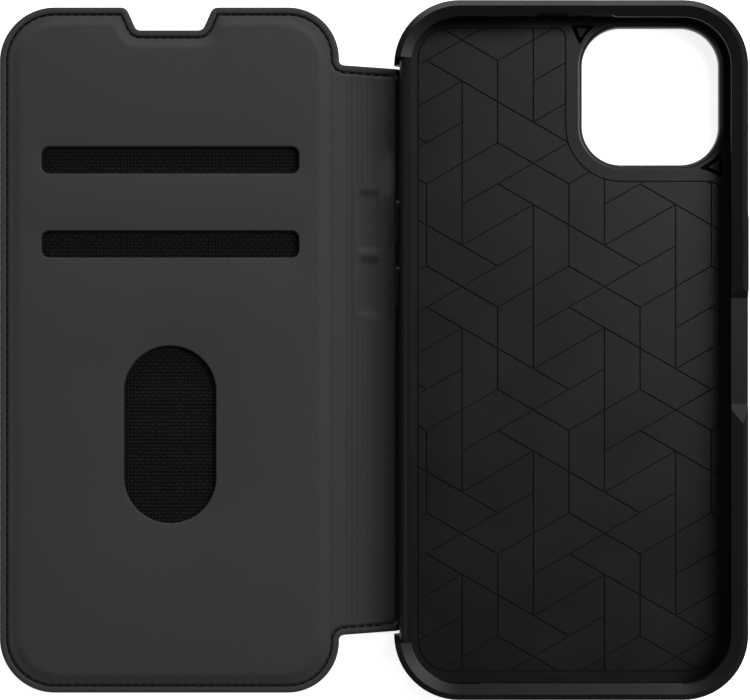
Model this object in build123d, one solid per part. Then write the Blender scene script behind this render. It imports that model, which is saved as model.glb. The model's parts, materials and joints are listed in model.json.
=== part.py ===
from build123d import *
import math
import os

# Folio wallet case for a phone, lying open and flat on its outer leather.
# A hard shell on the right holds the phone. A narrow spine joins it to a
# stitched cover on the left, which carries the card pocket.
# Millimetres. Origin: middle of the open case, on the ground. +X runs to the
# shell's free side, +Y to the camera end, +Z up, out of the open case.

# ---- phone the case is made for -------------------------------------------
PHONE_L = 146.7
PHONE_W = 71.5
PHONE_T = 7.65

# ---- hard shell -----------------------------------------------------------
SHELL_X0 = 4.84
SHELL_X1 = 81.6
SHELL_HY = 75.85
SHELL_R = 14.15
SHELL_Z0 = 0.8          # underside of the tray, on top of the leather
SHELL_TOP = 12.0        # ridge that runs round the rim
RIDGE_IN = 1.3          # ridge line, in from the outer face
RIDGE_DROP = 0.8        # height of the outer bevel below the ridge
BOTTOM_FILLET = 2.5
LIP_X0 = 8.38           # opening inside the lip
LIP_X1 = 77.93
LIP_HY = 72.2
LIP_R = 10.6
LIP_TOP = 11.2          # lip height at its inner edge
LIP_UNDER = 10.1
LIP_NOSE_Z = 10.9       # the lip's inner face leans back below this height
LIP_NOSE_BACK = 0.25    # how far it has gone back at its underside
BAY_X0 = LIP_X0 - 0.94  # phone bay under the lip
BAY_X1 = LIP_X1 + 1.41
BAY_HY = PHONE_L / 2 + 0.2
BAY_R = 12.0
TRAY_TOP = 1.7

# hinge side of the shell, cut back so the spine can fold up beside it
RECESS_X = 6.1
RECESS_HY = 62.7
RECESS_HY_TOP = 63.5
RECESS_FLARE_Z = 5.5
BEVEL_Z = 9.2
BEVEL_TOP_X = 7.6
BEVEL_TOP_Z = 11.12

# finger notch in the free side of the rim
NOTCH_FLOOR_Z = 10.9
NOTCH_Y = (-16.0, -11.7, 11.25, 13.85)

# ---- camera window --------------------------------------------------------
CAM_X0 = 46.55
CAM_X1 = 76.9
CAM_Y0 = 40.97
CAM_Y1 = 71.3
CAM_R = 8.6
BEZEL_WALL = 1.2
BEZEL_FLANGE = 1.3
BEZEL_ROUND = 1.05      # rounded inner edge of the window

# ---- buttons --------------------------------------------------------------
BUTTON_Z = 6.2
BUTTON_H = 4.0
BUTTON_GAP = 0.25       # round each cap
FLANGE_OUT = 0.7        # flange beyond the slot
COUNTERBORE_OUT = 1.0
POWER_Y = 21.0
POWER_LEN = 18.8
POWER_FACE_X = 82.36
POWER_FLANGE = (79.75, 80.35)
VOLUME_UP_Y = 27.85
VOLUME_UP_LEN = 10.9
VOLUME_DOWN_Y = 13.6
VOLUME_DOWN_LEN = 10.55
VOLUME_FACE_X = 5.2
VOLUME_FLANGE = (6.75, 7.15)

# ---- other openings in the walls ------------------------------------------
SWITCH_Y = 39.85
SWITCH_LEN = 10.5
PORT_X = 43.39
PORT_LEN = 12.8
PORT_H = 4.6
SPEAKER_DX = 13.2
SPEAKER_LEN = 7.5
SPEAKER_H = 2.8

# ---- liner pad inside the tray --------------------------------------------
LINER_TOP = 2.3
GROOVE_W = 0.27
GROOVE_D = 0.32
PANEL_X0 = 10.2
PANEL_X1 = 77.0
PANEL_Y0 = -70.95
PANEL_Y1 = 71.15
PANEL_R = 6.9
PANEL_STEP_X = 42.85
PANEL_STEP_Y = 37.28
PANEL_STEP_R = 12.2
PANEL_TIP_R = 2.3
WELL_Z = 1.0            # bottom of the two three-sided V grooves by the window
WELL_SHARE = 0.72       # size at the bottom of a groove, as a share of its outline
BOSS_SHARE = 0.46       # size of the flat middle
LATTICE_A = 7.87        # column pitch of the line pattern
LATTICE_H = 4.544       # row pitch, for lines at 30 degrees
LATTICE_X = 27.82
LATTICE_Y = 63.99

# ---- hinges ---------------------------------------------------------------
HINGE_A = (4.79, 0.95)  # x, z of the fold between shell and spine
HINGE_B = (-7.66, 1.1)  # x, z of the fold between spine and cover
BEAD_A = 0.95
BEAD_B = 1.1
FOLD_GAP = 0.3

# ---- leather and board layers ---------------------------------------------
SKIN_T = 0.8
STIFF_T = 0.5
SPINE_T = 1.9
SPINE_HY_A = 62.2
SPINE_HY_B = 63.1
BORDER_W = 1.45         # edge turned in outside the stitching
THREAD_W = 0.4
RELIEF_X0 = -3.28
RELIEF_X1 = 1.8
RELIEF_Y = ((21.2, 35.2), (7.1, 20.35))
PAD_T = 0.2

# ---- cover ----------------------------------------------------------------
COVER_X0 = -82.36
COVER_X1 = HINGE_B[0]
COVER_HY = 75.85
COVER_R = 12.2
EDGE_TOP = 2.2
PLATEAU_IN = 4.1
PLATEAU_TOP = 3.05
FRAME_IN = 4.6
FRAME_TOP = 2.45
NOTCH_X = -44.8
NOTCH_TOP_HALF = 9.64
NOTCH_BOTTOM_HALF = 7.36
NOTCH_BOTTOM_Y = 70.78
NOTCH_TOP_R = 1.6
NOTCH_BOTTOM_R = 1.4
POCKET_X0 = -73.2
POCKET_X1 = -16.0
POCKET_Y0 = -62.0
POCKET_Y1 = 47.0
MESH_T = 0.2
SLOT_X0 = -73.0
SLOT_X1 = -16.1
SLOT_Y = ((38.96, 44.9), (20.4, 26.3))
SLOT_R = 1.65
WINDOW_X0 = -54.8
WINDOW_X1 = -34.4
WINDOW_Y0 = -38.3
WINDOW_Y1 = 0.9


# ---- helpers --------------------------------------------------------------
def rounded(x0, x1, y0, y1, radius):
    """Rounded rectangle between two corners."""
    face = RectangleRounded(x1 - x0, y1 - y0, radius)
    return Pos((x0 + x1) / 2, (y0 + y1) / 2) * face


def slab(face, z0, z1):
    """A flat face raised from z0 to z1."""
    return extrude(Pos(0, 0, z0) * face, amount=z1 - z0)


def block(x0, x1, y0, y1, z0, z1):
    """Plain box between two corners."""
    centre = Pos((x0 + x1) / 2, (y0 + y1) / 2, (z0 + z1) / 2)
    return centre * Box(x1 - x0, y1 - y0, z1 - z0)


def side_slot(yc, zc, length, height, x0, x1):
    """Round-ended prism through a side wall, long along Y."""
    face = Pos(yc, zc) * SlotOverall(length, height)
    return extrude(Plane.YZ.offset(x0) * face, amount=x1 - x0)


def end_slot(xc, zc, length, height, y0, y1):
    """Round-ended prism through the bottom wall, long along X."""
    face = Pos(xc, zc) * SlotOverall(length, height)
    return extrude(Plane.XZ.offset(-y1) * face, amount=y1 - y0)


def camera_face(grow):
    """Outline of the camera window, grown all round."""
    return rounded(CAM_X0 - grow, CAM_X1 + grow, CAM_Y0 - grow, CAM_Y1 + grow, CAM_R + grow)


# ---- hard shell -----------------------------------------------------------
def shell_blank():
    """Rounded tray blank with its bevelled rim and rolled bottom edge."""
    blank = slab(rounded(SHELL_X0, SHELL_X1, -SHELL_HY, SHELL_HY, SHELL_R), SHELL_Z0, SHELL_TOP)
    bottom = blank.faces().sort_by(Axis.Z)[0].edges()
    blank = fillet(bottom, BOTTOM_FILLET)
    top_face = blank.faces().sort_by(Axis.Z)[-1]
    return chamfer(top_face.edges(), length=RIDGE_IN, length2=RIDGE_DROP, reference=top_face)


def shell_hollow():
    """Phone bay, lip opening and the slope from the ridge to the lip's nose."""
    bay = slab(rounded(BAY_X0, BAY_X1, -BAY_HY, BAY_HY, BAY_R), TRAY_TOP, LIP_UNDER)
    lip = rounded(LIP_X0, LIP_X1, -LIP_HY, LIP_HY, LIP_R)
    under = rounded(
        LIP_X0 - LIP_NOSE_BACK,
        LIP_X1 + LIP_NOSE_BACK,
        -LIP_HY - LIP_NOSE_BACK,
        LIP_HY + LIP_NOSE_BACK,
        LIP_R + LIP_NOSE_BACK,
    )
    mouth = slab(lip, LIP_UNDER - 0.1, LIP_TOP)
    nose = loft([Pos(0, 0, LIP_UNDER) * under, Pos(0, 0, LIP_NOSE_Z) * lip], ruled=True)
    ridge = rounded(
        SHELL_X0 + RIDGE_IN,
        SHELL_X1 - RIDGE_IN,
        -SHELL_HY + RIDGE_IN,
        SHELL_HY - RIDGE_IN,
        SHELL_R - RIDGE_IN,
    )
    slope = loft([Pos(0, 0, LIP_TOP) * lip, Pos(0, 0, SHELL_TOP) * ridge], ruled=True)
    return bay + mouth + nose + slope


def hinge_recess():
    """Space cut from the hinge side for the folded spine."""
    low = RECESS_HY
    high = RECESS_HY_TOP
    side = Polyline(
        (-low, 0.0),
        (low, 0.0),
        (low, RECESS_FLARE_Z),
        (high, SHELL_TOP),
        (high, SHELL_TOP + 1),
        (-high, SHELL_TOP + 1),
        (-high, SHELL_TOP),
        (-low, RECESS_FLARE_Z),
        close=True,
    )
    gate = extrude(Plane.YZ.offset(SHELL_X0 - 2) * make_face(side), amount=6.0)
    arc = ThreePointArc((RECESS_X, BEVEL_Z), (6.6, 10.45), (BEVEL_TOP_X, BEVEL_TOP_Z))
    rest = Polyline(
        (BEVEL_TOP_X, BEVEL_TOP_Z),
        (LIP_X0 + 0.2, LIP_TOP - 0.04),
        (LIP_X0 + 0.2, SHELL_TOP + 1),
        (SHELL_X0 - 1, SHELL_TOP + 1),
        (SHELL_X0 - 1, 0.0),
        (RECESS_X, 0.0),
        (RECESS_X, BEVEL_Z),
    )
    profile = make_face([arc, rest])
    wedge = extrude(Plane.XZ.offset(-80) * profile, amount=160)
    return gate & wedge


def rim_notch():
    """Finger notch with a flat floor and two ramps."""
    y0, y1, y2, y3 = NOTCH_Y
    top = SHELL_TOP + 0.02
    outline = Polyline(
        (y0, top),
        (y1, NOTCH_FLOOR_Z),
        (y2, NOTCH_FLOOR_Z),
        (y3, top),
        (y3, top + 1),
        (y0, top + 1),
        close=True,
    )
    return extrude(Plane.YZ.offset(LIP_X1 - 0.5) * make_face(outline), amount=5)


def button_openings():
    """Slots and counterbores for the three buttons."""
    wide = 2 * COUNTERBORE_OUT
    cuts = side_slot(POWER_Y, BUTTON_Z, POWER_LEN, BUTTON_H, BAY_X1 - 1, SHELL_X1 + 1)
    cuts += side_slot(
        POWER_Y, BUTTON_Z, POWER_LEN + wide, BUTTON_H + wide, BAY_X1 - 1, POWER_FLANGE[1] + 0.05
    )
    for yc, length in ((VOLUME_UP_Y, VOLUME_UP_LEN), (VOLUME_DOWN_Y, VOLUME_DOWN_LEN)):
        cuts += side_slot(yc, BUTTON_Z, length, BUTTON_H, SHELL_X0 - 1, BAY_X0 + 1)
        cuts += side_slot(
            yc, BUTTON_Z, length + wide, BUTTON_H + wide, VOLUME_FLANGE[0] - 0.05, BAY_X0 + 1
        )
    return cuts


def wall_openings():
    """Mute switch, charging port and speaker openings."""
    cuts = side_slot(SWITCH_Y, BUTTON_Z, SWITCH_LEN, BUTTON_H, SHELL_X0 - 1, BAY_X0 + 1)
    y0 = -SHELL_HY - 1
    y1 = -BAY_HY + 1
    cuts += end_slot(PORT_X, BUTTON_Z, PORT_LEN, PORT_H, y0, y1)
    for side in (-1, 1):
        cuts += end_slot(PORT_X + side * SPEAKER_DX, BUTTON_Z, SPEAKER_LEN, SPEAKER_H, y0, y1)
    return cuts


def lip_band(depth, x0, x1, y0, y1):
    """Strip taken off the inner edge of the lip, within a box in plan."""
    lip = rounded(LIP_X0 - depth, LIP_X1 + depth, -LIP_HY - depth, LIP_HY + depth, LIP_R + depth)
    cut = slab(lip, LIP_UNDER - 0.5, SHELL_TOP + 1)
    return cut & block(x0, x1, y0, y1, 0, SHELL_TOP + 2)


def earpiece_relief():
    """Strip of the top lip that slopes down to its inner edge."""
    edge = LIP_HY
    plan = Polyline(
        (34.8, edge - 1),
        (34.8, edge),
        (36.6, edge + 0.95),
        (50.6, edge + 0.95),
        (53.2, edge),
        (53.2, edge - 1),
        close=True,
    )
    side = Polyline(
        (edge - 1, LIP_UNDER),
        (edge, LIP_UNDER),
        (edge + 1, LIP_TOP + 0.3),
        (edge + 1, SHELL_TOP + 1),
        (edge - 1, SHELL_TOP + 1),
        close=True,
    )
    wedge = extrude(Plane.YZ.offset(34) * make_face(side), amount=20)
    return wedge & slab(make_face(plan), LIP_UNDER, SHELL_TOP + 1)


def lip_reliefs():
    """Reliefs in the lip over the earpiece, sensors and microphones."""
    edge = LIP_HY
    cuts = earpiece_relief()
    cuts += lip_band(0.5, 36.0, 42.6, edge - 3, edge + 2)
    cuts += lip_band(0.5, 44.2, 48.2, edge - 3, edge + 2)
    cuts += lip_band(0.15, 18.4, 26.1, edge - 3, edge + 2)
    cuts += lip_band(0.15, 27.8, 34.6, edge - 3, edge + 2)
    cuts += lip_band(0.22, 14.6, 23.4, -edge - 2, -edge + 3)
    cuts += lip_band(0.22, 67.3, 73.5, -edge - 2, -edge + 5)
    return cuts


def well_faces():
    """Outlines of the two three-sided grooves that follow the window's corners."""
    upper = [
        Line((43.95, 71.92), (49.65, 71.92)),
        ThreePointArc((49.65, 71.92), (47.5, 69.8), (45.95, 67.2)),
        Line((45.95, 67.2), (43.95, 71.92)),
    ]
    lower = [
        ThreePointArc((77.5, 44.2), (75.15, 41.95), (72.1, 40.1)),
        ThreePointArc((72.1, 40.1), (75.3, 39.15), (77.95, 37.6)),
        Line((77.95, 37.6), (77.5, 44.2)),
    ]
    faces = [make_face(upper), make_face(lower)]
    return [fillet(face.vertices(), 0.3) for face in faces]


def shrunk(face, share, z):
    """A face at height z, drawn in towards its own middle."""
    shift = face.center() * (1 - share)
    return Pos(shift.X, shift.Y, z) * scale(face, by=share)


def well_cut(face):
    """Tapered pit from the liner's top down into the tray."""
    return loft([shrunk(face, WELL_SHARE, WELL_Z), shrunk(face, 1.0, LINER_TOP)], ruled=True)


def well_boss(face):
    """Tapered boss that leaves a V groove inside the pit."""
    foot = shrunk(face, WELL_SHARE - 0.02, WELL_Z - 0.05)
    return loft([foot, shrunk(face, BOSS_SHARE, LINER_TOP)], ruled=True)


def hard_shell():
    """Moulded tray that clips round the phone."""
    shell = shell_blank() - shell_hollow()
    shell -= hinge_recess()
    shell -= rim_notch()
    shell -= button_openings()
    shell -= wall_openings()
    shell -= lip_reliefs()
    shell -= slab(camera_face(BEZEL_WALL), SHELL_Z0 - 1, TRAY_TOP + 1)
    for face in well_faces():
        shell = shell - well_cut(face) + well_boss(face)
    return shell


def button(yc, length, flange, face_x):
    """Button cap with the flange that keeps it in the wall."""
    low = min(flange[0], face_x)
    high = max(flange[1], face_x)
    cap_len = length - 2 * BUTTON_GAP
    cap_h = BUTTON_H - 2 * BUTTON_GAP
    cap = side_slot(yc, BUTTON_Z, cap_len, cap_h, low, high)
    outer = cap.faces().sort_by(Axis.X)[-1 if face_x > flange[1] else 0]
    cap = fillet(outer.edges(), 0.3)
    plate_len = length + 2 * FLANGE_OUT
    plate_h = BUTTON_H + 2 * FLANGE_OUT
    return cap + side_slot(yc, BUTTON_Z, plate_len, plate_h, flange[0], flange[1])


def camera_bezel():
    """Sleeve through the tray with a flange flush with the outer leather."""
    sleeve = slab(camera_face(BEZEL_WALL), 0, LINER_TOP)
    flange = slab(camera_face(BEZEL_FLANGE), 0, SKIN_T)
    bezel = sleeve + flange - slab(camera_face(0), -1, LINER_TOP + 1)
    rim = bezel.faces().sort_by(Axis.Z)[-1]
    return fillet(rim.inner_wires()[0].edges(), BEZEL_ROUND)


def panel_face():
    """Liner panel inside the border line, stepped round the camera."""
    panel = rounded(PANEL_X0, PANEL_X1, PANEL_Y0, PANEL_Y1, PANEL_R)
    step = rounded(PANEL_STEP_X, PANEL_X1 + 40, PANEL_STEP_Y, PANEL_Y1 + 40, PANEL_STEP_R)
    panel = panel - step
    tips = [
        v
        for v in panel.vertices()
        if (abs(v.X - PANEL_STEP_X) < 0.01 and abs(v.Y - PANEL_Y1) < 0.01)
        or (abs(v.X - PANEL_X1) < 0.01 and abs(v.Y - PANEL_STEP_Y) < 0.01)
    ]
    return fillet(tips, PANEL_TIP_R)


def line_strip(start, end, width):
    """Thin rectangle from one point to another."""
    run = Vector(end[0] - start[0], end[1] - start[1])
    middle = Pos((start[0] + end[0]) / 2, (start[1] + end[1]) / 2)
    turn = math.degrees(math.atan2(run.Y, run.X))
    return middle * Rot(0, 0, turn) * Rectangle(run.length + width, width)


def lattice_lines():
    """Straight lines of the liner pattern, repeated on a sheared grid."""
    a = LATTICE_A
    h = LATTICE_H
    unit = (
        ((0, 0), (0, -4 * h)),
        ((0, 0), (2 * a, 2 * h)),
        ((0, 0), (-2 * a, 2 * h)),
        ((-2 * a, 0), (2 * a, -4 * h)),
        ((-a, -h), (-a, -9 * h)),
        ((3 * a, -3 * h), (-a, -7 * h)),
        ((-a, -h), (-3 * a, -3 * h)),
    )
    lines = []
    for q in range(-2, 7):
        for p in range(-6, 6):
            x = LATTICE_X + a * (4 * p + 2 * q)
            y = LATTICE_Y - 6 * h * q
            for start, end in unit:
                first = (x + start[0], y + start[1])
                last = (x + end[0], y + end[1])
                inside_x = max(first[0], last[0]) > PANEL_X0 and min(first[0], last[0]) < PANEL_X1
                inside_y = max(first[1], last[1]) > PANEL_Y0 and min(first[1], last[1]) < PANEL_Y1
                if inside_x and inside_y:
                    lines.append(line_strip(first, last, GROOVE_W))
    return lines


def inner_liner():
    """Patterned pad under the phone."""
    gap = 0.1
    edge = rounded(BAY_X0 + gap, BAY_X1 - gap, -BAY_HY + gap, BAY_HY - gap, BAY_R - gap)
    pad = slab(edge, TRAY_TOP, LINER_TOP)
    panel = panel_face()
    border = offset(panel, amount=GROOVE_W / 2) - offset(panel, amount=-GROOVE_W / 2)
    pattern = Sketch() + lattice_lines()
    pattern = pattern & panel
    pad -= slab(border + pattern, LINER_TOP - GROOVE_D, LINER_TOP + 1)
    pad -= slab(camera_face(BEZEL_WALL), TRAY_TOP - 1, LINER_TOP + 1)
    for face in well_faces():
        pad -= well_cut(face)
    return pad


def back_skin():
    """Outer leather on the back of the shell."""
    inset = BOTTOM_FILLET + 0.1
    x0 = HINGE_A[0] + BEAD_A + FOLD_GAP
    skin = rounded(x0, SHELL_X1 - inset, -SHELL_HY + inset, SHELL_HY - inset, SHELL_R - inset)
    return slab(skin, 0, SKIN_T) - slab(camera_face(BEZEL_FLANGE), -1, SKIN_T + 1)


# ---- spine ----------------------------------------------------------------
def spine_profile():
    """Whole spine thickness, with a round bead along the shell fold."""
    x0 = HINGE_B[0] + BEAD_B + FOLD_GAP
    outline = Polyline(
        (x0, -SPINE_HY_B),
        (HINGE_A[0] + BEAD_A, -SPINE_HY_A),
        (HINGE_A[0] + BEAD_A, SPINE_HY_A),
        (x0, SPINE_HY_B),
        close=True,
    )
    plan = slab(make_face(outline), 0, SPINE_T)
    flat = block(x0 - 1, HINGE_A[0], -70, 70, 0, SPINE_T)
    bead = Pos(HINGE_A[0], 0, HINGE_A[1]) * Rot(90, 0, 0) * Cylinder(BEAD_A, 140)
    return plan & (flat + bead)


def spine_band(inset, z0, z1):
    """Slice of the spine, shortened at both ends."""
    x0 = HINGE_B[0] + BEAD_B + FOLD_GAP - 1
    x1 = HINGE_A[0] + BEAD_A + 1
    outline = Polyline(
        (x0, -SPINE_HY_B + inset),
        (x1, -SPINE_HY_A + inset),
        (x1, SPINE_HY_A - inset),
        (x0, SPINE_HY_B - inset),
        close=True,
    )
    return slab(make_face(outline), z0, z1)


def relief_prisms(z0, z1):
    """The two button reliefs, as solids between two heights."""
    reliefs = [
        slab(rounded(RELIEF_X0, RELIEF_X1, y0, y1, 2.0), z0, z1)
        for y0, y1 in RELIEF_Y
    ]
    return reliefs[0] + reliefs[1]


def spine_skin():
    """Outer leather of the spine with its ends turned in."""
    whole = spine_profile()
    core = spine_band(BORDER_W, SKIN_T, SPINE_T + 1)
    return whole - core


def spine_stiffener():
    """Thin board between the spine leathers."""
    band = spine_band(BORDER_W, SKIN_T, SKIN_T + STIFF_T)
    return (spine_profile() & band) - relief_prisms(0, 5)


def spine_lining():
    """Inner leather of the spine with windows for the button reliefs."""
    band = spine_band(BORDER_W + THREAD_W, SKIN_T + STIFF_T, SPINE_T + 1)
    return (spine_profile() & band) - relief_prisms(0, 5)


def spine_button_pads():
    """Two thin pads at the bottom of the button reliefs."""
    return relief_prisms(SKIN_T, SKIN_T + PAD_T)


def spine_thread():
    """Sewing thread in the grooves at both ends of the spine."""
    ring = spine_band(BORDER_W, SKIN_T + STIFF_T, SPINE_T - 0.2)
    ring -= spine_band(BORDER_W + THREAD_W, 0, 5)
    return ring & block(HINGE_B[0] + 1, HINGE_A[0], -70, 70, 0, 5) & spine_profile()


# ---- cover ----------------------------------------------------------------
def cover_outline(inset):
    """Cover outline with its top notch, drawn in from the edge."""
    half = COVER_HY - inset
    body = rounded(COVER_X0 + inset, COVER_X1 - inset, -half, half, COVER_R - inset)
    grow = 0.6525 * inset
    top_y = COVER_HY - inset
    top = NOTCH_TOP_HALF + grow
    bottom = NOTCH_BOTTOM_HALF + grow
    bottom_y = NOTCH_BOTTOM_Y - inset
    notch = Polyline(
        (NOTCH_X - bottom, bottom_y),
        (NOTCH_X + bottom, bottom_y),
        (NOTCH_X + top, top_y),
        (NOTCH_X + top, top_y + 3),
        (NOTCH_X - top, top_y + 3),
        (NOTCH_X - top, top_y),
        close=True,
    )
    body = body - make_face(notch)
    valleys = [v for v in body.vertices() if abs(abs(v.X - NOTCH_X) - bottom) < 0.01 and v.Y > 60]
    body = fillet(valleys, NOTCH_BOTTOM_R + 0.5 * inset)
    corners = [v for v in body.vertices() if abs(abs(v.X - NOTCH_X) - top) < 0.01 and v.Y > 60]
    return fillet(corners, max(NOTCH_TOP_R - inset, 0.3))


def fold_side(reach):
    """Region along the fold where the edge is neither turned in nor sewn."""
    half = COVER_HY - COVER_R - 0.9
    return block(COVER_X1 - reach, COVER_X1 + 5, -half, half, -1, 10)


def cover_bead():
    """Round bead along the fold between cover and spine."""
    half = COVER_HY - COVER_R - 0.9
    bead = Pos(HINGE_B[0], 0, HINGE_B[1]) * Rot(90, 0, 0) * Cylinder(BEAD_B, 2 * half)
    return bead & block(HINGE_B[0], HINGE_B[0] + 5, -half, half, -1, 5)


def cover_skin():
    """Outer leather of the cover with its edge turned in."""
    skin = slab(cover_outline(0), 0, EDGE_TOP)
    skin -= slab(cover_outline(BORDER_W), SKIN_T, 5)
    skin -= fold_side(BORDER_W + 0.5) & block(-90, 10, -80, 80, SKIN_T, 5)
    return skin + (cover_bead() & block(-20, 0, -80, 80, -1, SKIN_T))


def cover_board():
    """Stiff board inside the cover."""
    return slab(cover_outline(2.4), SKIN_T, SKIN_T + STIFF_T)


def pocket_frame():
    """Spacer that leaves room for the cards between board and lining."""
    frame = slab(cover_outline(FRAME_IN), SKIN_T + STIFF_T, FRAME_TOP)
    return frame - block(POCKET_X0, POCKET_X1, POCKET_Y0, POCKET_Y1, 0, 5)


def pocket_mesh():
    """Woven backing seen through the slots and the window."""
    return block(
        POCKET_X0, POCKET_X1, POCKET_Y0, POCKET_Y1, SKIN_T + STIFF_T, SKIN_T + STIFF_T + MESH_T
    )


def pocket_cuts():
    """Two card slots and the thumb window."""
    cuts = [
        slab(rounded(SLOT_X0, SLOT_X1, y0, y1, SLOT_R), FRAME_TOP - 1, 6)
        for y0, y1 in SLOT_Y
    ]
    radius = (WINDOW_X1 - WINDOW_X0) / 2 - 0.01
    cuts.append(slab(rounded(WINDOW_X0, WINDOW_X1, WINDOW_Y0, WINDOW_Y1, radius), FRAME_TOP - 1, 6))
    return cuts


def cover_lining():
    """Inner leather, raised over the card pocket and flat at its edge."""
    base = SKIN_T + STIFF_T
    apron = slab(cover_outline(BORDER_W + THREAD_W), base, EDGE_TOP)
    fold = fold_side(BORDER_W + THREAD_W + 0.1) & block(-90, COVER_X1, -80, 80, base, EDGE_TOP)
    bead = cover_bead() & block(-20, 0, -80, 80, base, 5)
    plateau = slab(cover_outline(PLATEAU_IN), EDGE_TOP, PLATEAU_TOP)
    rim = plateau.faces().sort_by(Axis.Z)[-1]
    plateau = chamfer(rim.outer_wire().edges(), length=0.25, length2=0.5, reference=rim)
    lining = apron + fold + bead + plateau
    lining -= slab(cover_outline(FRAME_IN), 0, FRAME_TOP)
    for cut in pocket_cuts():
        lining -= cut
    return lining


def cover_thread():
    """Sewing thread in the groove round the cover."""
    ring = cover_outline(BORDER_W) - cover_outline(BORDER_W + THREAD_W)
    return slab(ring, SKIN_T + STIFF_T, EDGE_TOP - 0.3) - fold_side(BORDER_W + 1)


# ---- build ----------------------------------------------------------------
def all_parts():
    """Every piece of the case, by node name."""
    return {
        "hard_shell": hard_shell(),
        "inner_liner": inner_liner(),
        "back_skin": back_skin(),
        "camera_bezel": camera_bezel(),
        "power_button": button(POWER_Y, POWER_LEN, POWER_FLANGE, POWER_FACE_X),
        "volume_up_button": button(VOLUME_UP_Y, VOLUME_UP_LEN, VOLUME_FLANGE, VOLUME_FACE_X),
        "volume_down_button": button(VOLUME_DOWN_Y, VOLUME_DOWN_LEN, VOLUME_FLANGE, VOLUME_FACE_X),
        "spine_skin": spine_skin(),
        "spine_stiffener": spine_stiffener(),
        "spine_lining": spine_lining(),
        "spine_button_pads": spine_button_pads(),
        "spine_thread": spine_thread(),
        "cover_skin": cover_skin(),
        "cover_board": cover_board(),
        "pocket_frame": pocket_frame(),
        "pocket_mesh": pocket_mesh(),
        "cover_lining": cover_lining(),
        "cover_thread": cover_thread(),
    }


os.makedirs("parts", exist_ok=True)
for name, piece in all_parts().items():
    export_step(piece, f"parts/{name}.step")
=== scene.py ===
import json
import math

import bmesh
import bpy
import numpy as np
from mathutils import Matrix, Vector
from mathutils.geometry import delaunay_2d_cdt


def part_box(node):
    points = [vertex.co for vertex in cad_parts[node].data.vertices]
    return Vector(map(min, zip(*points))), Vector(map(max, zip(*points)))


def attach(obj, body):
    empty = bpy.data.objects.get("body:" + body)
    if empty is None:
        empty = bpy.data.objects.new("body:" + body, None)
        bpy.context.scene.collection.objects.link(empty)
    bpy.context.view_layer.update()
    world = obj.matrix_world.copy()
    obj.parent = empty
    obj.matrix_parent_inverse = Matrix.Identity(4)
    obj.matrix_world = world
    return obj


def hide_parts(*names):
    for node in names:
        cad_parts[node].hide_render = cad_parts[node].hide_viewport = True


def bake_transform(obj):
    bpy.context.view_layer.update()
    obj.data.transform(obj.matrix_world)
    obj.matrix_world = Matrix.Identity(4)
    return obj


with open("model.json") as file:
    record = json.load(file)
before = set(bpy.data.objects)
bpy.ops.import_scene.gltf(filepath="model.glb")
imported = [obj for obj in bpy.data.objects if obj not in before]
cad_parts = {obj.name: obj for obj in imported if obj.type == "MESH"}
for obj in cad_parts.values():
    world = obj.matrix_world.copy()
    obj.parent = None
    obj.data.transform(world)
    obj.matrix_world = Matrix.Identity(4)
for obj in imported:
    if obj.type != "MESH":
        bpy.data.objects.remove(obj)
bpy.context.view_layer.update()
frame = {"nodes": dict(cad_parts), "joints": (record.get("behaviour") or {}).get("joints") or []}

NODES = frame["nodes"]
HINGES = {joint["name"]: joint for joint in frame["joints"]}
MM = 0.001


def box_mm(node):
    """Lowest and highest corner of a CAD node, in millimetres."""
    low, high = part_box(node)
    return [c / MM for c in low], [c / MM for c in high]


# ---- sizes, in millimetres ------------------------------------------------
COVER_LOW, COVER_HIGH = box_mm("cover_skin")
SPINE_HIGH = box_mm("spine_skin")[1]
BACK_LOW, BACK_HIGH = box_mm("back_skin")
LINING_HIGH = box_mm("cover_lining")[1]
MESH_LOW, MESH_HIGH = box_mm("pocket_mesh")
BEZEL_LOW, BEZEL_HIGH = box_mm("camera_bezel")
FOLD_A_X = HINGES["spine_fold"]["pos_m"][0] / MM
FOLD_B_X = HINGES["cover_fold"]["pos_m"][0] / MM

COVER_HALF = COVER_HIGH[1]
COVER_LEFT = COVER_LOW[0]
COVER_RIGHT = FOLD_B_X + 0.4
COVER_TOP = COVER_HIGH[2]
COVER_R = 12.2
COVER_R_FOLD = 11.3
BACK_R = 11.55
BACK_R_FOLD = 10.0
BACK_SIDE = 0.6             # the back's long side, in from the tongue's root
BACK_STEP_X = (5.4, 6.0)    # where the tongue's edge comes down to the back's level
SPINE_TOP = SPINE_HIGH[2]
SPINE_MID_HALF = 62.63      # spine half length at x = 0
SPINE_TAPER = 0.075
SPINE_JOIN_R = 1.1          # inner corner between spine and cover
NECK_R = 0.5                # inner corner between spine and back
CUT_R = 0.05                # corners at a cut end
DROP_X = (FOLD_B_X - 1.3, FOLD_B_X + 2.2)   # where the edge comes down to the spine's level
LEATHER_TOP = 0.795         # upper side of the outer leather, just under the shell
BEZEL_R = 9.9
BORDER = 1.45               # edge turned in outside the stitching
CUT_INSET = 0.4             # how far the edge's rings draw in where it is cut
GROOVE = 0.4
SEAM_DROP = 0.5             # how far the lining sinks next to the groove
PLATEAU_TOP = LINING_HIGH[2]
PLATEAU_LEFT = -77.85
PLATEAU_RIGHT = -11.2
PLATEAU_HALF = 71.9
PLATEAU_R = 8.8
PLATEAU_RAMP = 2.1
PLATEAU_NOTCH = 3.8         # the plateau's notch, in from the cover's
PLATEAU_NOTCH_R = 1.5
NOTCH_X = -44.8
NOTCH_DEPTH = 5.07
NOTCH_TOP_HALF = 9.64
NOTCH_BOTTOM_HALF = 7.36
NOTCH_TOP_R = 1.7
NOTCH_BOTTOM_R = 1.4
NOTCH_LEAN = 0.44           # how far its sides lean, for 1 mm of depth
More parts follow.
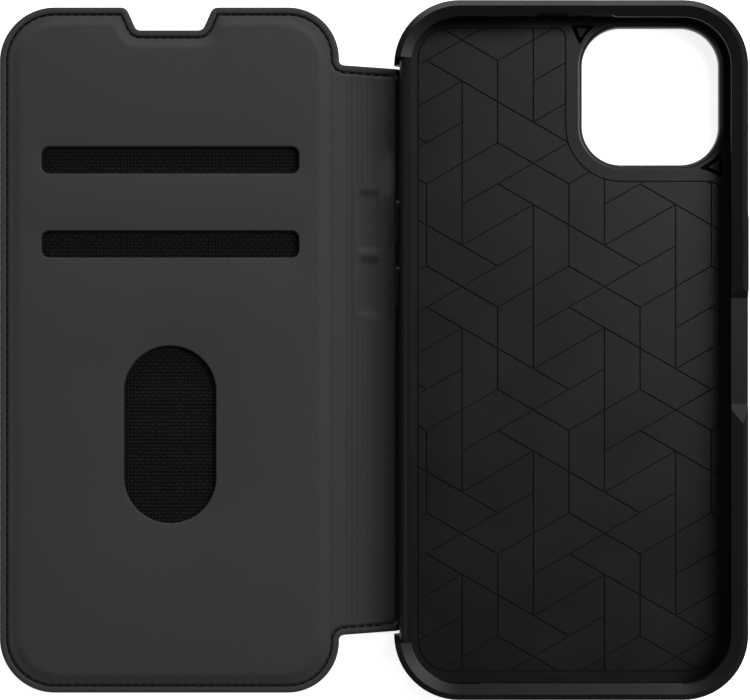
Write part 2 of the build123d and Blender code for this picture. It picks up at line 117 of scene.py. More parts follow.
NOTCH_GROW = 0.6525         # how much its half width grows, for 1 mm of inset
BEND_A = (FOLD_A_X + 1.8, FOLD_A_X - 1.8)
BEND_B = (FOLD_B_X + 1.8, FOLD_B_X - 1.8)
LEATHER_SPLIT_X = BEND_A[1] - 0.4
LINING_END_X = SPINE_HIGH[0] - 0.1
LINING_END_DROP = 0.6       # how far the lining goes down at its end
LINING_END_RUN = 0.7        # over this length
LINING_INSETS = [BORDER + more for more in (0.15, 0.32, 0.5, 0.75, 1.2)]
CREASE_X = [-5.83, -4.7, -3.57, -2.44, -1.31, -0.18]
CREASE_DEPTH = 0.17
CREASE_HALF = 0.4           # half the width of a crease
CREASE_END = 60.5
RELIEF_X = (-3.4, 2.1)
RELIEF_Y = ((21.2, 35.6, 1.6), (7.1, 20.9, 1.6))    # low end, high end, high ramp
RELIEF_DEPTH = 0.62         # clears the volume buttons when the spine is folded up
SLOT_X = (-73.0, -16.1)
SLOT_Y = ((38.96, 44.9), (20.4, 26.3))
SLOT_R = 1.65
WINDOW_X = (-54.8, -34.4)
WINDOW_Y = (-38.3, 0.9)
OPENING_ROUND = 0.35        # width of the rounding round slots and window
OPENING_DROP = 0.3
STITCH_PITCH = 1.85
STITCH_LENGTH = 1.4
STITCH_R = 0.17
STITCH_TIP = 0.45           # thickness at a stitch's ends, as a share
STITCH_SIDES = 6
STITCH_DIP = 0.16           # how far a stitch's ends go down
STITCH_SINK = 0.42          # middle of the thread, below the edge's top
WEAVE_PITCH_X = 0.75
WEAVE_PITCH_Y = 0.786
WEAVE_LEVEL = MESH_HIGH[2] + 0.06
WEAVE_WAVE = 0.08           # how far a yarn goes over and under
WEAVE_STEPS = 4             # points along a yarn for each crossing
WEAVE_SPARE = 1.5           # how far the yarns go on past an opening
YARN_WIDE = 0.55            # width of the crosswise yarns, as a share of their pitch
YARN_NARROW = 0.42          # width of the lengthwise yarns, as a share of their pitch
YARN_DOME = ((-0.5, -0.06), (0.0, 0.05), (0.5, -0.06))  # place across, height


# ---- outlines -------------------------------------------------------------
ARC_STEP = 0.45             # longest step round a corner
LEAST_R = 0.03


def rounded_path(corners, inset=0.0, held=(), step=1.0):
    """Closed outline with rounded corners (x, y, radius), drawn in by inset.

    The inside is on the left. Edges listed in held stay where they are. Every
    inset gives the same number of points, so outlines can be bridged.
    """
    count = len(corners)
    places = [Vector(c[:2]) for c in corners]
    runs = [(places[(i + 1) % count] - places[i]).normalized() for i in range(count)]
    normals = [Vector((-d.y, d.x)) for d in runs]
    moves = [0.0 if i in held else inset for i in range(count)]
    arcs = []
    for i, place in enumerate(places):
        n1, n2 = normals[i - 1], normals[i]
        o1, o2 = moves[i - 1], moves[i]
        det = n1.x * n2.y - n1.y * n2.x
        corner = place + Vector(((o1 * n2.y - o2 * n1.y) / det, (n1.x * o2 - n2.x * o1) / det))
        d1, d2 = runs[i - 1], runs[i]
        cross = d1.x * d2.y - d1.y * d2.x
        turn = math.atan2(cross, d1.dot(d2))
        side = 1 if turn > 0 else -1
        radius = max(corners[i][2] - side * inset, LEAST_R)
        reach = radius * math.tan(abs(turn) / 2)
        centre = corner - d1 * reach + n1 * side * radius
        bits = max(3, math.ceil(corners[i][2] * abs(turn) / ARC_STEP))
        first = -n1 * side * radius
        points = []
        for k in range(bits + 1):
            angle = turn * k / bits
            c, s = math.cos(angle), math.sin(angle)
            points.append(centre + Vector((first.x * c - first.y * s, first.x * s + first.y * c)))
        arcs.append(points)
    path = []
    for i in range(count):
        path += arcs[i]
        length = (places[(i + 1) % count] - places[i]).length
        bits = max(1, math.ceil(length / step))
        start, end = arcs[i][-1], arcs[(i + 1) % count][0]
        path += [start.lerp(end, k / bits) for k in range(1, bits)]
    return np.array([(p.x, p.y) for p in path])


def box_corners(x0, x1, y0, y1, radius):
    """Corners of a rounded rectangle, inside on the left."""
    return [(x1, y0, radius), (x1, y1, radius), (x0, y1, radius), (x0, y0, radius)]


def notch_corners(inset, top_y, top_r):
    """The cover's top notch, from right to left."""
    grow = NOTCH_GROW * inset
    bottom_y = COVER_HALF - NOTCH_DEPTH - inset
    top_half = NOTCH_TOP_HALF + grow - NOTCH_LEAN * (COVER_HALF - inset - top_y)
    bottom_half = NOTCH_BOTTOM_HALF + grow
    bottom_r = NOTCH_BOTTOM_R + inset
    return [
        (NOTCH_X + top_half, top_y, top_r),
        (NOTCH_X + bottom_half, bottom_y, bottom_r),
        (NOTCH_X - bottom_half, bottom_y, bottom_r),
        (NOTCH_X - top_half, top_y, top_r),
    ]


def spine_half(x):
    """Half length of the spine, a little longer towards the cover."""
    return SPINE_MID_HALF - SPINE_TAPER * x


def cover_corners(end_x):
    """Cover and spine as one outline that ends at end_x. Edge 0 is that end."""
    join = spine_half(COVER_RIGHT)
    return [
        (end_x, -spine_half(end_x), CUT_R),
        (end_x, spine_half(end_x), CUT_R),
        (COVER_RIGHT, join, SPINE_JOIN_R),
        (COVER_RIGHT, COVER_HALF, COVER_R_FOLD),
        *notch_corners(0.0, COVER_HALF, NOTCH_TOP_R),
        (COVER_LEFT, COVER_HALF, COVER_R),
        (COVER_LEFT, -COVER_HALF, COVER_R),
        (COVER_RIGHT, -COVER_HALF, COVER_R_FOLD),
        (COVER_RIGHT, -join, SPINE_JOIN_R),
    ]


def back_corners():
    """Back of the shell with the tongue of the spine. Edge 7 is the tongue's end."""
    x0, x1 = BACK_LOW[0] + BACK_SIDE, BACK_HIGH[0]
    half = BACK_HIGH[1]
    neck = spine_half(x0)
    return [
        (LEATHER_SPLIT_X, -spine_half(LEATHER_SPLIT_X), CUT_R),
        (x0, -neck, NECK_R),
        (x0, -half, BACK_R_FOLD),
        (x1, -half, BACK_R),
        (x1, half, BACK_R),
        (x0, half, BACK_R_FOLD),
        (x0, neck, NECK_R),
        (LEATHER_SPLIT_X, spine_half(LEATHER_SPLIT_X), CUT_R),
    ]


def plateau_corners():
    """Raised middle of the cover's lining."""
    return [
        (PLATEAU_RIGHT, -PLATEAU_HALF, PLATEAU_R),
        (PLATEAU_RIGHT, PLATEAU_HALF, PLATEAU_R),
        *notch_corners(PLATEAU_NOTCH, PLATEAU_HALF, PLATEAU_NOTCH_R),
        (PLATEAU_LEFT, PLATEAU_HALF, PLATEAU_R),
        (PLATEAU_LEFT, -PLATEAU_HALF, PLATEAU_R),
    ]


def pocket_openings():
    """Corners of the two slots and the thumb window."""
    found = [box_corners(*SLOT_X, *span, SLOT_R) for span in SLOT_Y]
    radius = (WINDOW_X[1] - WINDOW_X[0]) / 2 - 0.01
    found.append(box_corners(*WINDOW_X, *WINDOW_Y, radius))
    return found


# ---- mesh helpers ---------------------------------------------------------
CHUNK = 4000                # points measured at a time, to spare memory
TINY = 1e-12
WELD = 2e-6                 # in metres


def smooth(low, high, value):
    """Smooth step from 0 at low to 1 at high."""
    t = np.clip((np.asarray(value, float) - low) / (high - low), 0, 1)
    return t * t * (3 - 2 * t)


def signed_distance(points, loop):
    """Distance from each point to a closed outline, positive inside."""
    a = loop
    b = np.roll(loop, -1, axis=0)
    run = b - a
    length2 = np.maximum((run**2).sum(1), TINY)
    result = np.empty(len(points))
    for start in range(0, len(points), CHUNK):
        p = points[start : start + CHUNK, None, :]
        t = np.clip(((p - a) * run).sum(2) / length2, 0, 1)
        nearest = np.sqrt((((a + t[..., None] * run) - p) ** 2).sum(2)).min(1)
        x, y = p[..., 0], p[..., 1]
        spans = (a[:, 1] > y) != (b[:, 1] > y)
        rise = np.where(abs(run[:, 1]) < TINY, TINY, run[:, 1])
        cross_x = a[:, 0] + (y - a[:, 1]) * run[:, 0] / rise
        inside = ((spans & (x < cross_x)).sum(1) % 2) == 1
        result[start : start + CHUNK] = np.where(inside, nearest, -nearest)
    return result


def ring_faces(count, rings, first=0):
    """Quads between rings of the same number of points."""
    faces = []
    for r in range(rings - 1):
        for k in range(count):
            a = first + r * count + k
            b = first + r * count + (k + 1) % count
            faces.append((a, b, b + count, a + count))
    return faces


def fill_plan(loops, holes=(), lines=()):
    """Triangulates the inside of the first loop less the holes.

    loops and holes are closed outlines. lines are open polylines. The
    triangles follow all of them.
    """
    points = []
    edges = []
    for loop in list(loops) + list(holes):
        first = len(points)
        points += [Vector(p) for p in loop]
        edges += [(first + k, first + (k + 1) % len(loop)) for k in range(len(loop))]
    for line in lines:
        first = len(points)
        points += [Vector(p) for p in line]
        edges += [(first + k, first + k + 1) for k in range(len(line) - 1)]
    made = delaunay_2d_cdt(points, edges, [], 1, 1e-5, False)
    places = np.array([tuple(p) for p in made[0]])
    faces = np.array([f for f in made[2] if len(f) == 3])
    middles = places[faces].mean(1)
    keep = signed_distance(middles, np.asarray(loops[0])) > 0
    for hole in holes:
        keep &= signed_distance(middles, np.asarray(hole)) < 0
    return places, faces[keep]


def make_object(name, points, faces, material, angle=35.0):
    """Mesh object from points in millimetres, welded and shaded smooth."""
    mesh = bpy.data.meshes.new(name)
    places = [tuple(c * MM for c in p) for p in points]
    mesh.from_pydata(places, [], [tuple(map(int, f)) for f in faces])
    made = bmesh.new()
    made.from_mesh(mesh)
    bmesh.ops.remove_doubles(made, verts=made.verts, dist=WELD)
    bmesh.ops.delete(made, geom=[v for v in made.verts if not v.link_faces], context="VERTS")
    bmesh.ops.recalc_face_normals(made, faces=made.faces)
    made.to_mesh(mesh)
    made.free()
    mesh.materials.append(material)
    mesh.shade_smooth()
    mesh.set_sharp_from_angle(angle=math.radians(angle))
    piece = bpy.data.objects.new(name, mesh)
    bpy.context.scene.collection.objects.link(piece)
    return piece


def bend_lines(x_from, x_to, half, step=0.3):
    """Lines along the fold, so that the leather bends smoothly."""
    xs = np.arange(min(x_from, x_to), max(x_from, x_to) + step / 2, step)
    ys = np.linspace(-half, half, int(half))
    return [[(x, y) for y in ys] for x in xs]


# ---- materials ------------------------------------------------------------
LEATHER_SPECULAR = 0.12
YARN_SPECULAR = 0.11
LINE_DEPTH = (0.03, 0.12)   # depths at which a scored line's painted shade and matt finish start and stop
LINE_PAINTED_SHADE_AND_MATT = 0.7            # how far a scored line's colour goes to black, as painted shade, and its roughness to matt


def new_material(name, colour, roughness):
    """Principled material with a place for its texture nodes."""
    material = bpy.data.materials.new(name)
    material.use_nodes = True
    nodes = material.node_tree.nodes
    shader = nodes["Principled BSDF"]
    shader.inputs["Base Color"].default_value = (*colour, 1)
    shader.inputs["Roughness"].default_value = roughness
    return material, nodes, material.node_tree.links, shader


def noise(nodes, links, coordinate, scale, detail=3.0):
    """Noise texture on the object's own coordinates."""
    node = nodes.new("ShaderNodeTexNoise")
    node.inputs["Scale"].default_value = scale
    node.inputs["Detail"].default_value = detail
    links.new(coordinate.outputs["Object"], node.inputs["Vector"])
    return node


def spread(nodes, links, source, low, high):
    """Maps a texture's middle range to low..high."""
    node = nodes.new("ShaderNodeMapRange")
    node.inputs["From Min"].default_value = 0.3
    node.inputs["From Max"].default_value = 0.7
    node.inputs["To Min"].default_value = low
    node.inputs["To Max"].default_value = high
    links.new(source, node.inputs["Value"])
    return node


def tint(nodes, links, shader, source, dark, light):
    """Base colour that varies between two shades with a texture."""
    mix = nodes.new("ShaderNodeMix")
    mix.data_type = "RGBA"
    mix.inputs["A"].default_value = (*dark, 1)
    mix.inputs["B"].default_value = (*light, 1)
    links.new(source, mix.inputs["Factor"])
    links.new(mix.outputs["Result"], shader.inputs["Base Color"])


def add_bump(nodes, links, shader, height, strength, distance_mm, below=None):
    """Bump from a height, on top of another bump if there is one."""
    bump = nodes.new("ShaderNodeBump")
    bump.inputs["Strength"].default_value = strength
    bump.inputs["Distance"].default_value = distance_mm * MM
    links.new(height, bump.inputs["Height"])
    if below:
        links.new(below.outputs["Normal"], bump.inputs["Normal"])
    links.new(bump.outputs["Normal"], shader.inputs["Normal"])
    return bump


def leather_material(name, shade, grain=1.0):
    """Smooth dark leather: fine pebbled grain, faint cloudy colour."""
    dark = tuple(0.985 * c for c in shade)
    light = tuple(1.015 * c for c in shade)
    material, nodes, links, shader = new_material(name, shade, 0.6)
    place = nodes.new("ShaderNodeTexCoord")
    cloud = noise(nodes, links, place, 90.0, 4.0)
    fine = noise(nodes, links, place, 2600.0, 2.0)
    pebble = nodes.new("ShaderNodeTexVoronoi")
    pebble.feature = "SMOOTH_F1"
    pebble.inputs["Scale"].default_value = 1700.0
    links.new(place.outputs["Object"], pebble.inputs["Vector"])
    mottle = spread(nodes, links, cloud.outputs["Fac"], 0, 1)
    tint(nodes, links, shader, mottle.outputs[0], dark, light)
    rough = spread(nodes, links, fine.outputs["Fac"], 0.56, 0.68)
    links.new(rough.outputs[0], shader.inputs["Roughness"])
    below = add_bump(nodes, links, shader, pebble.outputs["Distance"], 0.28 * grain, 0.12)
    add_bump(nodes, links, shader, fine.outputs["Fac"], 0.2 * grain, 0.05, below)
    shader.inputs["Specular IOR Level"].default_value = LEATHER_SPECULAR
    return material


def plastic_material(name, shade, low, high, grain, specular=0.15):
    """Dark moulded plastic or soft polymer with a fine texture."""
    dark = tuple(0.92 * c for c in shade)
    light = tuple(1.08 * c for c in shade)
    material, nodes, links, shader = new_material(name, shade, (low + high) / 2)
    place = nodes.new("ShaderNodeTexCoord")
    cloud = noise(nodes, links, place, 60.0, 3.0)
    fine = noise(nodes, links, place, 3800.0, 2.0)
    mottle = spread(nodes, links, cloud.outputs["Fac"], 0, 1)
    tint(nodes, links, shader, mottle.outputs[0], dark, light)
    rough = spread(nodes, links, cloud.outputs["Fac"], low, high)
    links.new(rough.outputs[0], shader.inputs["Roughness"])
    add_bump(nodes, links, shader, fine.outputs["Fac"], grain, 0.04)
    shader.inputs["Specular IOR Level"].default_value = specular
    return material


def liner_material(name, shade):
    """Liner polymer whose scored lines go matt below the surface, with painted shade that turns
    their colour black there.
    """
    material = plastic_material(name, shade, 0.33, 0.39, 0.12, 0.21)
    nodes, links = material.node_tree.nodes, material.node_tree.links
    shader = nodes["Principled BSDF"]
    top = max(vertex.co.z for vertex in NODES["inner_liner"].data.vertices)
    place = nodes.new("ShaderNodeTexCoord")
    split = nodes.new("ShaderNodeSeparateXYZ")
    links.new(place.outputs["Object"], split.inputs["Vector"])
    # painted shade in the scored lines: base colour goes to black, and roughness goes to matt, the
    # deeper below the liner's top
    groove_shade_and_matt = nodes.new("ShaderNodeMapRange")
    groove_shade_and_matt.inputs["From Min"].default_value = top - LINE_DEPTH[0] * MM
    groove_shade_and_matt.inputs["From Max"].default_value = top - LINE_DEPTH[1] * MM
    groove_shade_and_matt.inputs["To Max"].default_value = LINE_PAINTED_SHADE_AND_MATT
    links.new(split.outputs["Z"], groove_shade_and_matt.inputs["Value"])
    ends = (("Base Color", "RGBA", (0.0, 0.0, 0.0, 1.0)), ("Roughness", "FLOAT", 1.0))
    for socket, kind, value in ends:
        mix = nodes.new("ShaderNodeMix")
        mix.data_type = kind
        links.new(groove_shade_and_matt.outputs["Result"], mix.inputs["Factor"])
        links.new(shader.inputs[socket].links[0].from_socket, mix.inputs["A"])
        mix.inputs["B"].default_value = value
        links.new(mix.outputs["Result"], shader.inputs[socket])
    return material


def yarn_material(name, shade):
    """Black yarn: fine twist lines across it and a matt surface."""
    dark = tuple(0.7 * c for c in shade)
    light = tuple(1.3 * c for c in shade)
    material, nodes, links, shader = new_material(name, shade, 0.7)
    place = nodes.new("ShaderNodeTexCoord")
    twist = nodes.new("ShaderNodeTexWave")
    twist.bands_direction = "DIAGONAL"
    twist.inputs["Scale"].default_value = 2400.0
    twist.inputs["Distortion"].default_value = 2.0
    links.new(place.outputs["Object"], twist.inputs["Vector"])
    fine = noise(nodes, links, place, 3000.0)
    tint(nodes, links, shader, twist.outputs["Fac"], dark, light)
    rough = spread(nodes, links, fine.outputs["Fac"], 0.6, 0.8)
    links.new(rough.outputs[0], shader.inputs["Roughness"])
    add_bump(nodes, links, shader, twist.outputs["Fac"], 0.4, 0.03)
    shader.inputs["Specular IOR Level"].default_value = YARN_SPECULAR
    return material


def grey(value):
    """Neutral linear grey with a trace of warmth taken out."""
    return (value, value, value * 1.02)


# leather: name, shade, grain
OUTER_LEATHER = leather_material("outer_leather_look", grey(0.0255))
INNER_LEATHER = leather_material("inner_leather_look", grey(0.0268), 1.3)
# plastic: name, shade, lowest and highest roughness, grain, specular level
SHELL_PLASTIC = plastic_material("shell_look", grey(0.004), 0.32, 0.38, 0.1, 0.125)
LINER_PLASTIC = liner_material("liner_look", grey(0.0028))
BEZEL_PLASTIC = plastic_material("bezel_look", grey(0.0035), 0.3, 0.35, 0.08, 0.2)
BUTTON_PLASTIC = plastic_material("button_look", grey(0.004), 0.28, 0.33, 0.05, 0.08)
BOARD = plastic_material("board_look", grey(0.1), 0.8, 0.9, 0.4)
SPACER = plastic_material("spacer_look", grey(0.02), 0.7, 0.8, 0.3)
THREAD = yarn_material("thread_look", grey(0.0025))
WEAVE = yarn_material("weave_look", grey(0.0014))


# ---- soft pieces ----------------------------------------------------------
def cover_drop(x):
    """Height of the flat edge at x: the spine is thinner than the cover."""
    return 1 - (1 - SPINE_TOP / COVER_TOP) * smooth(*DROP_X, x)


# turned-in edge: distance in from the outline, share of the edge's height
EDGE_PROFILE = (
    (0.5, 0.0),
    (0.15, 0.06),
    (0.0, 0.22),
    (0.0, 0.8),
    (0.1, 0.93),
    (0.35, 1.0),
    (BORDER - 0.3, 1.0),
    (BORDER - 0.08, 0.94),
    (BORDER, 0.75),
    (BORDER + 0.02, None),      # None: the upper side of the flat leather
)


def leather_rings(corners, held, top, plain_x):
    """Outline rings up round the turned-in edge.

    top(x) is the edge's height. Past plain_x the edge is cut, not turned in.
    """
    edge = rounded_path(corners, 0.0, held)
    plain = smooth(plain_x, plain_x + 1, edge[:, 0])[:, None]
    rings = []
    for inset, share in EDGE_PROFILE:
        path = rounded_path(corners, inset, held)
        capped = edge + (path - edge) * min(1.0, CUT_INSET / max(inset, CUT_INSET))
        path = path * (1 - plain) + capped * plain
        z = np.full(len(path), LEATHER_TOP)
        if share is not None:
            z = top(path[:, 0]) * share
        rings.append(np.column_stack([path, z]))
    return rings


def leather_piece(name, corners, held, top, lines, plain_x=200.0, holes=()):
    """Closed leather sheet with a turned-in edge and cut-outs."""
    rings = leather_rings(corners, held, top, plain_x)
    points = list(np.vstack(rings))
    faces = ring_faces(len(rings[0]), len(rings))
    for ring, level in ((rings[0], 0.0), (rings[-1], LEATHER_TOP)):
        plan, triangles = fill_plan([ring[:, :2]], holes, lines)
        first = len(points)
        points += [(x, y, level) for x, y in plan]
        faces += [tuple(first + t) for t in triangles]
    for hole in holes:
        first = len(points)
        points += [(x, y, 0.0) for x, y in hole]
        points += [(x, y, LEATHER_TOP) for x, y in hole]
        faces += ring_faces(len(hole), 2, first)
    return make_object(name, points, faces, OUTER_LEATHER)


def outer_leather_cover():
    """Outer leather of the cover and most of the spine."""
    corners = cover_corners(LEATHER_SPLIT_X)
    half = spine_half(LEATHER_SPLIT_X) - BORDER - 0.1
    piece = leather_piece(
        "outer_leather_cover",
        corners,
        (0,),
        lambda x: COVER_TOP * cover_drop(x),
        bend_lines(BEND_B[1], BEND_B[0], half),
    )
    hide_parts("cover_skin", "spine_skin")
    return piece


def outer_leather_back():
    """Outer leather on the shell's back, with the tongue that folds."""

    def top(x):
        return SPINE_TOP - (SPINE_TOP - LEATHER_TOP) * smooth(*BACK_STEP_X, x)

    window = box_corners(BEZEL_LOW[0], BEZEL_HIGH[0], BEZEL_LOW[1], BEZEL_HIGH[1], BEZEL_R)
    half = spine_half(BEND_A[0]) - BORDER - 0.1
    piece = leather_piece(
        "outer_leather_back",
        back_corners(),
        (7,),
        top,
        bend_lines(BEND_A[1], BEND_A[0], half),
        BACK_STEP_X[1],
        [rounded_path(window)],
    )
    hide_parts("back_skin")
    return piece


def lining_height(plan):
    """Height of the lining above the ground at points of its plan."""
    x, y = plan[:, 0], plan[:, 1]
    # the outline goes on past the lining's end, so that no seam runs across it
    edge = signed_distance(plan, rounded_path(cover_corners(LINING_END_X + 20)))
    raised = signed_distance(plan, rounded_path(plateau_corners()))
    base = COVER_TOP * cover_drop(x)
    z = base + (PLATEAU_TOP - base) * smooth(-PLATEAU_RAMP, 0.7, raised)
    z -= SEAM_DROP * (1 - smooth(BORDER + GROOVE - 0.15, BORDER + GROOVE + 0.35, edge))
    z -= LINING_END_DROP * smooth(LINING_END_X - LINING_END_RUN, LINING_END_X, x) ** 2
    relief = np.zeros(len(plan))
    for low, high, ramp in RELIEF_Y:
        across = smooth(0, 1.6, x - RELIEF_X[0]) * smooth(0, 1.3, RELIEF_X[1] - x)
        ends = smooth(0, 2.0, y - low) * smooth(0, ramp, high - y)
        relief = np.maximum(relief, across * ends)
    # the creases fade out round the reliefs
    low, high = RELIEF_Y[1][0], RELIEF_Y[0][1]
    calm = smooth(low - 2, low, y) * smooth(-high - 2, -high, -y) * (x > RELIEF_X[0] - 0.7)
    for crease in CREASE_X:
        dip = np.clip(1 - abs(x - crease) / CREASE_HALF, 0, 1)
        z -= CREASE_DEPTH * dip * smooth(-CREASE_END, 1.5 - CREASE_END, -abs(y)) * (1 - calm)
    z -= RELIEF_DEPTH * relief
    for corners in pocket_openings():
        away = -signed_distance(plan, rounded_path(corners))
        near = 1 - np.clip(away / OPENING_ROUND, 0, 1)
        z -= OPENING_DROP * (1 - np.sqrt(1 - near**2))
    return z


def inner_lining():
    """Inner leather of cover and spine, raised, creased and pierced."""
    corners = cover_corners(LINING_END_X)
    loops = [rounded_path(corners, inset, (0,)) for inset in LINING_INSETS]
    ramps = (-1.9, -1.4, -0.9, -0.4, 0.0, 0.4, 0.7)
    raised = [rounded_path(plateau_corners(), inset) for inset in ramps]
    holes = [rounded_path(c, 0.0, (), 0.7) for c in pocket_openings()]
    rims = [
        rounded_path(c, -grow, (), 0.7) for c in pocket_openings() for grow in (0.1, 0.22, 0.36)
    ]
    half = spine_half(LINING_END_X) - BORDER - 1.6
    lines = bend_lines(BEND_B[1], BEND_B[0] - 0.1, half)
    for crease in CREASE_X:
        for side in (-CREASE_HALF, 0.0, CREASE_HALF):
            ys = np.linspace(-CREASE_END - 0.1, CREASE_END + 0.1, 90)
            lines.append([(crease + side, y) for y in ys])
    for low, high, ramp in RELIEF_Y:
        levels = [*np.arange(low, low + 2.2, 0.4), *(high - np.linspace(0, ramp, 6))]
        lines += [[(x, y) for x in np.arange(RELIEF_X[0], RELIEF_X[1] + 0.1, 0.5)] for y in levels]
        lines += [[(x, y) for y in np.arange(low, high, 1.0)] for x in np.arange(*RELIEF_X, 0.35)]
    for back in (LINING_END_RUN, 0.45, 0.25, 0.1):
        lines.append([(LINING_END_X - back, y) for y in np.linspace(-half, half, 60)])
    plan, triangles = fill_plan([*loops, *raised, *rims], holes, lines)
    height = lining_height(plan)
    points = [(x, y, z) for (x, y), z in zip(plan, height)]
    faces = [tuple(t) for t in triangles]
    for loop, level in [(loops[0], 1.25)] + [(hole, MESH_HIGH[2] + 0.1) for hole in holes]:
        first = len(points)
        tops = lining_height(np.asarray(loop))
        points += [(x, y, z) for (x, y), z in zip(loop, tops)]
        points += [(x, y, level) for x, y in loop]
        faces += ring_faces(len(loop), 2, first)
    piece = make_object("inner_lining", points, faces, INNER_LEATHER, 50.0)
    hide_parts("cover_lining", "spine_lining", "spine_button_pads")
    return piece


def stitch(points, faces, place, along, length):
    """One short stitch: a tube that dips into the leather at both ends."""
    across = np.array([-along[1], along[0], 0.0])
    up = np.array([0.0, 0.0, 1.0])
    first = len(points)
    stations = np.linspace(-1, 1, 7)
    for t in stations:
        thick = STITCH_TIP + (1 - STITCH_TIP) * math.sqrt(max(0.0, 1 - t**4))
        radius = STITCH_R * thick
        centre = place + along * (t * length / 2) - up * (STITCH_DIP * t**4)
        for k in range(STITCH_SIDES):
            angle = 2 * math.pi * k / STITCH_SIDES
            points.append(centre + radius * (across * math.cos(angle) + up * math.sin(angle)))
    faces += ring_faces(STITCH_SIDES, len(stations), first)
    faces.append(tuple(range(first + STITCH_SIDES - 1, first - 1, -1)))
    last = first + STITCH_SIDES * (len(stations) - 1)
    faces.append(tuple(range(last, last + STITCH_SIDES)))


def stitching():
    """Row of stitches in the groove, from one end of the spine to the other."""
    path = rounded_path(cover_corners(LINING_END_X - 0.4), BORDER + GROOVE / 2, (0,), 0.5)
    # without the first corner and the cut end, where the outline starts
    path = path[4:]
    path = path[path[:, 0] < LINING_END_X - 0.5]
    runs = np.linalg.norm(np.diff(path, axis=0), axis=1)
    travel = np.concatenate([[0], np.cumsum(runs)])
    points = []
    faces = []
    for s in np.arange(STITCH_PITCH, travel[-1] - STITCH_PITCH, STITCH_PITCH):
        x, y = (np.interp(s, travel, path[:, axis]) for axis in (0, 1))
        ahead = [np.interp(s + 0.3, travel, path[:, axis]) for axis in (0, 1)]
        along = np.array([ahead[0] - x, ahead[1] - y, 0.0])
        along /= np.linalg.norm(along)
        z = float(COVER_TOP * cover_drop(x)) - STITCH_SINK
        stitch(points, faces, np.array([x, y, z]), along, STITCH_LENGTH)
    piece = make_object("stitching", points, faces, THREAD, 60.0)
    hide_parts("cover_thread", "spine_thread")
    return piece


def ribbon(points, faces, centre, across, width):
    """Domed strip of yarn along a centre line."""
    first = len(points)
    for offset, lift in YARN_DOME:
        for place in centre:
            points.append(place + across * offset * width + np.array([0, 0, lift]))
    count = len(centre)
    for row in range(2):
        for k in range(count - 1):
            a = first + row * count + k
            faces.append((a, a + 1, a + count + 1, a + count))


def woven_patch(points, faces, x0, x1, y0, y1):
    """Plain weave: wide crosswise yarns over narrow, lower lengthwise ones."""
    columns = range(math.floor(x0 / WEAVE_PITCH_X), math.ceil(x1 / WEAVE_PITCH_X) + 1)
    rows = range(math.floor(y0 / WEAVE_PITCH_Y), math.ceil(y1 / WEAVE_PITCH_Y) + 1)
    steps = WEAVE_STEPS
    xs = np.arange(columns[0] * steps, columns[-1] * steps + 1) / steps
    ys = np.arange(rows[0] * steps, rows[-1] * steps + 1) / steps
    for row in rows:
        z = WEAVE_LEVEL + WEAVE_WAVE * np.cos(math.pi * (xs + row))
        centre = np.column_stack([xs * WEAVE_PITCH_X, np.full(len(xs), row * WEAVE_PITCH_Y), z])
        ribbon(points, faces, centre, np.array([0, 1.0, 0]), YARN_WIDE * WEAVE_PITCH_Y)
    for column in columns:
        z = WEAVE_LEVEL - 0.05 - WEAVE_WAVE * np.cos(math.pi * (ys + column))
        centre = np.column_stack([np.full(len(ys), column * WEAVE_PITCH_X), ys * WEAVE_PITCH_Y, z])
        ribbon(points, faces, centre, np.array([1.0, 0, 0]), YARN_NARROW * WEAVE_PITCH_X)


def pocket_weave():
    """Woven backing of the card pocket, with real yarns under the openings."""
    x0, y0 = MESH_LOW[0], MESH_LOW[1]
    x1, y1 = MESH_HIGH[0], MESH_HIGH[1]
    z = MESH_HIGH[2] - 0.18
    points = [np.array(p) for p in ((x0, y0, z), (x1, y0, z), (x1, y1, z), (x0, y1, z))]
    faces = [(0, 1, 2, 3)]
    for span in SLOT_Y:
        low, high = span[0] - WEAVE_SPARE, span[1] + WEAVE_SPARE
        woven_patch(points, faces, x0 + 0.4, x1 - 0.4, low, high)
    left, right = WINDOW_X[0] - WEAVE_SPARE, WINDOW_X[1] + WEAVE_SPARE
    low, high = WINDOW_Y[0] - WEAVE_SPARE, WINDOW_Y[1] + WEAVE_SPARE
    woven_patch(points, faces, left, right, low, high)
    piece = make_object("pocket_weave", points, faces, WEAVE, 60.0)
    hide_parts("pocket_mesh")
    return piece


# ---- stage ----------------------------------------------------------------
CAMERA_PLACE = (0.7 * MM, 0.0, 450 * MM)
CAMERA_LENS = 97.2
FLOOR_SIZE = 6.0
FLOOR_Z = -0.0002
FLOOR_GLOW = 0.75
WORLD_GLOW = 0.16
# name, place and aim in metres, size in metres, power in watts
LIGHTS = (
    ("top", (0.5, 0.34, 0.95), (0, 0, 0), (0.6, 0.6), 7.5),
    ("key", (0.8, 0.26, 0.78), (0, 0, 0), (0.5, 0.5), 6.0),
    ("far", (0.0, 0.8, 0.24), (0, 0, 0.01), (1.0, 0.16), 6.5),
    ("fill", (-0.8, -0.1, 0.7), (0, 0, 0), (0.5, 0.5), 1.5),
)


def add_camera():
    """Camera straight above the open case."""
    data = bpy.data.cameras.new("camera")
    data.sensor_width = 36.0
    data.lens = CAMERA_LENS
    data.clip_start = 0.01
    camera = bpy.data.objects.new("camera", data)
    camera.location = CAMERA_PLACE
    bpy.context.scene.collection.objects.link(camera)
    bpy.context.scene.camera = camera


def area_light(name, place, aim, size, power):
    """Rectangular light that faces a point."""
    data = bpy.data.lights.new(name, "AREA")
    data.shape = "RECTANGLE"
    data.size, data.size_y = size
    data.energy = power
    light = bpy.data.objects.new(name, data)
    light.location = place
    facing = Vector(aim) - Vector(place)
    light.rotation_euler = facing.to_track_quat("-Z", "Y").to_euler()
    light.visible_camera = False
    bpy.context.scene.collection.objects.link(light)


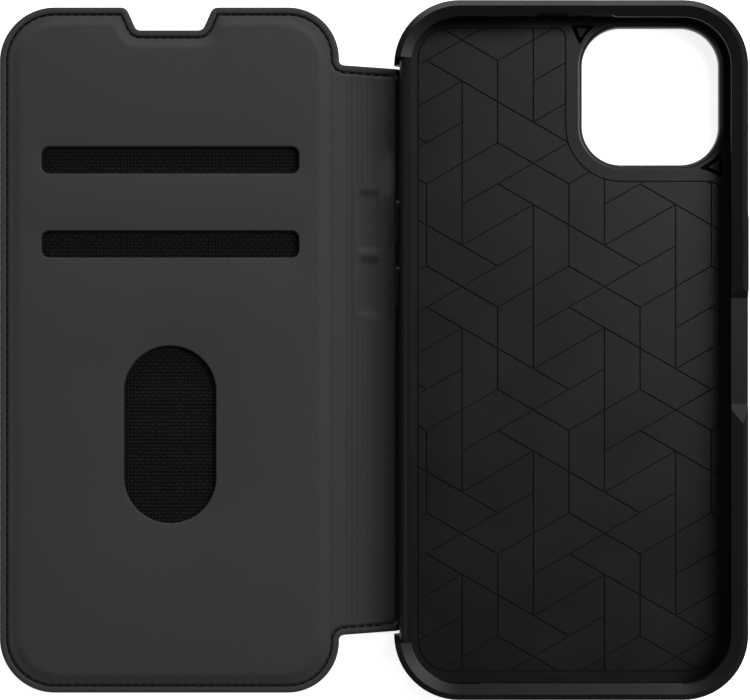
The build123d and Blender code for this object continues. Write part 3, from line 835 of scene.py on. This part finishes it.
def add_floor():
    """Plain pale floor just under the case."""
    bpy.ops.mesh.primitive_plane_add(size=FLOOR_SIZE, location=(0, 0, FLOOR_Z))
    floor = bpy.context.object
    floor.name = "floor"
    material, nodes, links, shader = new_material("floor_look", (0.86, 0.86, 0.86), 0.9)
    place = nodes.new("ShaderNodeTexCoord")
    cloud = noise(nodes, links, place, 8.0)
    mix = spread(nodes, links, cloud.outputs["Fac"], 0, 1).outputs[0]
    tint(nodes, links, shader, mix, (0.88, 0.88, 0.88), (0.9, 0.9, 0.9))
    shader.inputs["Specular IOR Level"].default_value = 0.1
    shader.inputs["Emission Color"].default_value = (1, 1, 1, 1)
    shader.inputs["Emission Strength"].default_value = FLOOR_GLOW
    floor.data.materials.append(material)


def add_stage():
    """Floor, dim surroundings and the studio lights."""
    add_floor()
    world = bpy.data.worlds.new("surroundings")
    bpy.context.scene.world = world
    world.use_nodes = True
    background = world.node_tree.nodes["Background"]
    background.inputs["Color"].default_value = (1, 1, 1, 1)
    background.inputs["Strength"].default_value = WORLD_GLOW
    bpy.context.scene.view_settings.view_transform = "Standard"
    for light in LIGHTS:
        area_light(*light)


# ---- assembly -------------------------------------------------------------
def dress_nodes():
    """Gives each CAD node that shows, or lies hidden inside, its material."""
    looks = {
        "hard_shell": SHELL_PLASTIC,
        "camera_bezel": BEZEL_PLASTIC,
        "inner_liner": LINER_PLASTIC,
        "power_button": BUTTON_PLASTIC,
        "volume_up_button": BUTTON_PLASTIC,
        "volume_down_button": BUTTON_PLASTIC,
        "spine_stiffener": BOARD,
        "cover_board": BOARD,
        "pocket_frame": SPACER,
    }
    for name, look in looks.items():
        for slot in NODES[name].material_slots:
            slot.material = look


def outline_area(path):
    """Area inside a closed outline, in square metres."""
    x, y = path[:, 0], path[:, 1]
    return abs(float((x * np.roll(y, -1) - y * np.roll(x, -1)).sum()) / 2) * MM * MM


def declare_leather(corners, holes=()):
    """Works out a leather piece's cut area, less its holes; the area is not used."""
    path = rounded_path(corners)
    area = outline_area(path) - sum(outline_area(rounded_path(h)) for h in holes)


def build():
    """Makes every piece and ties the pocket weave to the cover's body."""
    add_camera()
    add_stage()
    dress_nodes()
    cover = outer_leather_cover()
    back = outer_leather_back()
    lining = inner_lining()
    thread = stitching()
    weave = pocket_weave()
    for piece in (cover, lining, thread):
        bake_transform(piece)
    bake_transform(back)
    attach(weave, "cover")
    declare_leather(cover_corners(LEATHER_SPLIT_X))
    declare_leather(back_corners())
    declare_leather(cover_corners(LINING_END_X), pocket_openings())


build()
